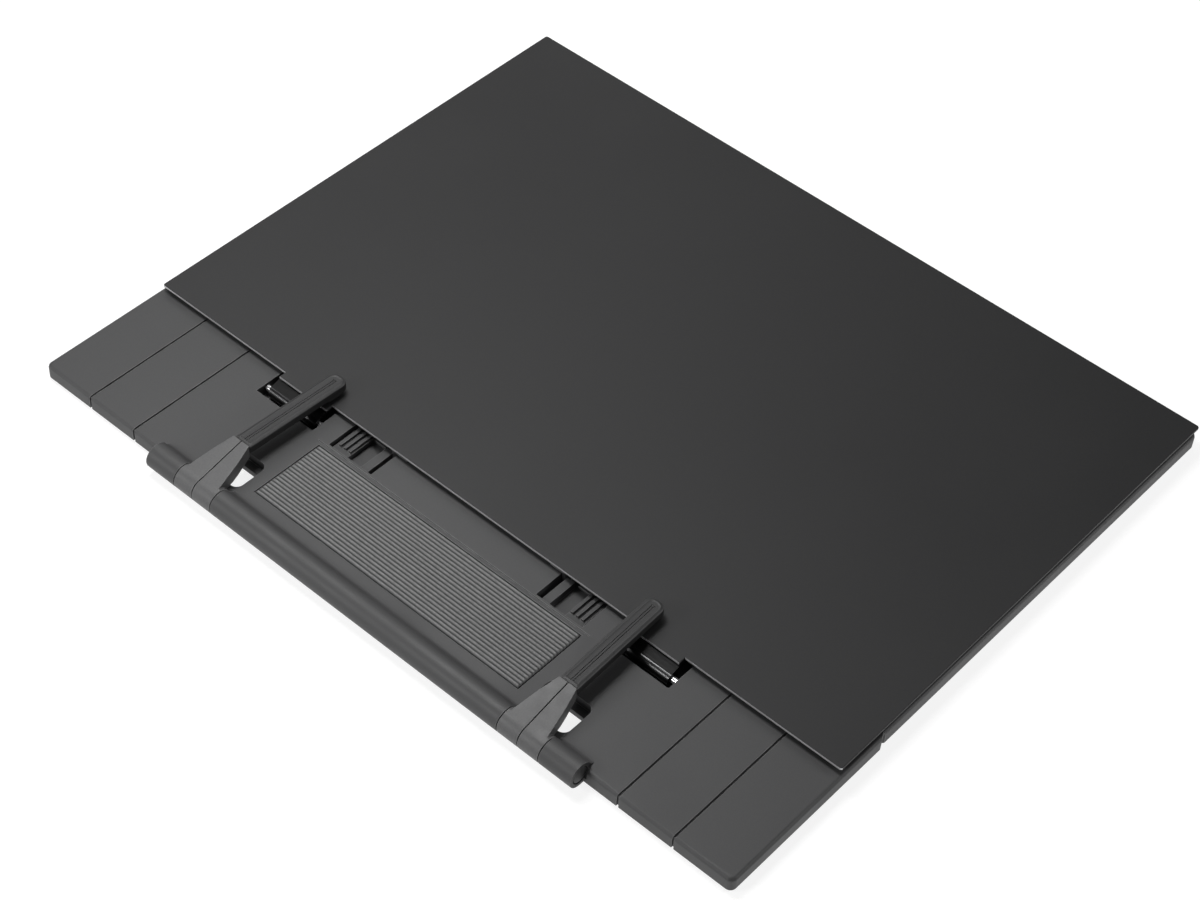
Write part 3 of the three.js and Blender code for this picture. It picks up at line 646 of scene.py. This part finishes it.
# ---- Feet and the front tube's ends ----
def foot(node):
    """A rubber disc with an eased rim and two shallow rings in its sole."""
    low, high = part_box(node)
    centre = Vector(((low.x + high.x) / 2, (low.y + high.y) / 2, low.z))
    radius = (high.x - low.x) / 2 / MM
    tall = (high.z - low.z) / MM
    hub, groove = 0.02, 0.22
    profile = [
        (hub, 0.0), (1.6, 0.0), (1.75, groove), (2.15, groove), (2.3, 0.0),
        (3.7, 0.0), (3.85, groove), (4.25, groove), (4.4, 0.0),
        (radius - 0.45, 0.0), (radius - 0.12, 0.12), (radius, 0.45), (radius, tall), (hub, tall),
    ]
    bm = bmesh.new()
    lathe(bm, profile, centre)
    return stand_for(finish_mesh(node + "_disc", bm, [FOOT_RUBBER], 40), node)


def end_cap(name, side):
    """The barrel's end: a slightly domed disc with an eased rim, and its plug behind."""
    node = name + "_barrel_end_cap"
    low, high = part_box(node)
    centre = Vector((low.x if side < 0 else high.x, (low.y + high.y) / 2, (low.z + high.z) / 2))
    inward = -side
    plug = (high.x - low.x) / MM
    hub = 0.02
    profile = [
        (hub, 0.0), (1.6, 0.03), (2.7, 0.1), (3.15, 0.2), (3.3, 0.4),
        (3.3, 1.2), (1.7, 1.25), (1.7, plug), (hub, plug),
    ]
    bm = bmesh.new()
    lathe(bm, [(r, h * inward) for r, h in profile], centre, "X", 40)
    return stand_for(finish_mesh(node + "_form", bm, [PROP_PLASTIC], 40), node)


def barrel_end(middle):
    """Where the front tube's fillet runs out at the ends of the tube."""
    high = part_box("right_barrel_end_cap")[1]
    return abs(abs(middle.x) - high.x) < 0.2 * MM and middle.y > high.y


def shaded_barrel_end_face(middle):
    """The flat ends of the front tube, which are painted darker than its skin: painted shade for the end that
    faces away from the light.
    """
    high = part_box("right_barrel_end_cap")[1]
    return abs(abs(middle.x) - high.x) < 0.05 * MM and middle.y < high.y + TUBE_FILLET * MM


SIDE_PARTS = (
    ("arm_axle", PIN_STEEL, 0.2),
    ("arm_bumper", FOOT_RUBBER, 0.12),
    ("lock_slider", BASE_PLASTIC, 0.12),
    ("plate_catch", BRACKET_STEEL, 0.12),
    ("prop_bracket", BRACKET_STEEL, 0.12),
    ("prop_pin", PIN_STEEL, 0.15),
    ("prop_sleeve", FOOT_RUBBER, 0.2),
    ("rack", PROP_PLASTIC, 0.08),
)


def build_object():
    plate_sheet()
    grip_pad()
    # The tube's flat ends take the darker prop plastic: painted shade.
    eased("base_front", BASE_PLASTIC, 0.16, crisp=barrel_end, other=PROP_PLASTIC, is_other=shaded_barrel_end_face)
    eased("base_rear", BASE_PLASTIC, 0.16)
    eased("prop_frame", PROP_PLASTIC, 0.25)
    eased("prop_foot_bar", PIN_STEEL, 0.15)
    for name, side in SIDES:
        hinge_leaf(name)
        hinge_pin(name)
        end_cap(name, side)
        arm_bar(name, side)
        arm_details(name, side)
        for half in ("inner", "outer"):
            eased(f"{name}_arm_shell_{half}", LIT_ARM_PLASTIC, 0.2, 30)
        for part, look, bevel in SIDE_PARTS:
            eased(f"{name}_{part}", look, bevel)
        for i in (1, 2, 3):
            foot(f"{name}_foot_{i}")
        for i in (1, 2):
            eased(f"{name}_plate_bumper_{i}", FOOT_RUBBER, 0.1)
            eased(f"{name}_screw_{i}", PIN_STEEL, 0.08)


# ---- Stage ----
def pale_floor():
    """A wide, nearly white floor that glows a little, so that only soft shadows show on it."""
    bm = bmesh.new()
    bmesh.ops.create_grid(bm, x_segments=1, y_segments=1, size=6.0)
    material, _, shader = blank_material("pale_floor")
    shader.inputs["Base Color"].default_value = (0.26, 0.26, 0.26, 1)
    shader.inputs["Roughness"].default_value = 0.9
    shader.inputs["Specular IOR Level"].default_value = 0.1
    shader.inputs["Emission Color"].default_value = (1, 1, 1, 1)
    shader.inputs["Emission Strength"].default_value = 0.83
    mesh = bpy.data.meshes.new("floor")
    bm.to_mesh(mesh)
    bm.free()
    mesh.materials.append(material)
    floor = bpy.data.objects.new("floor", mesh)
    bpy.context.scene.collection.objects.link(floor)


def soft_light(name, place, aim, size, watts):
    light = bpy.data.lights.new(name, "AREA")
    light.shape = "RECTANGLE"
    light.size, light.size_y = size
    light.energy = watts
    lamp = bpy.data.objects.new(name, light)
    lamp.location = place
    lamp.rotation_euler = (Vector(aim) - Vector(place)).to_track_quat("-Z", "Y").to_euler()
    bpy.context.scene.collection.objects.link(lamp)


def studio():
    world = bpy.data.worlds.new("studio")
    bpy.context.scene.world = world
    world.use_nodes = True
    background = world.node_tree.nodes["Background"]
    background.inputs["Color"].default_value = (1, 1, 1, 1)
    background.inputs["Strength"].default_value = 0.14
    soft_light("key", (-0.22, -0.04, 0.62), (-0.03, -0.03, 0), (0.22, 0.22), 2.9)
    soft_light("back_fill", (-1.30, 1.15, 1.30), (0, 0, 0), (1.2, 1.0), 5)
    soft_light("front_left_strip", (-0.42, -0.90, 0.52), (0, -0.1, 0), (0.36, 0.10), 4.4)
    soft_light("back_right_low", (0.90, 0.62, 0.50), (0.1, 0, 0), (0.2, 0.2), 3.0)
    bpy.context.scene.view_settings.view_transform = "Standard"


def camera():
    """Looks down on the front right corner, with a slight roll, through a long lens."""
    azimuth, elevation, roll = (math.radians(turn) for turn in CAMERA_TURNS)
    back = Vector((
        math.sin(azimuth) * math.cos(elevation), -math.cos(azimuth) * math.cos(elevation), math.sin(elevation)
    ))
    level = Vector((math.cos(azimuth), math.sin(azimuth), 0))
    right = level * math.cos(roll) + back.cross(level) * math.sin(roll)
    up = back.cross(right)
    lens = bpy.data.cameras.new("camera")
    lens.sensor_width = SENSOR_WIDTH
    lens.lens = FOCAL_LENGTH
    eye = bpy.data.objects.new("camera", lens)
    turn = Matrix((right, up, back)).transposed().to_4x4()
    eye.matrix_world = Matrix.Translation(CAMERA_AIM + back * CAMERA_DISTANCE) @ turn
    bpy.context.scene.collection.objects.link(eye)
    bpy.context.scene.camera = eye


camera()
studio()
pale_floor()
build_object()
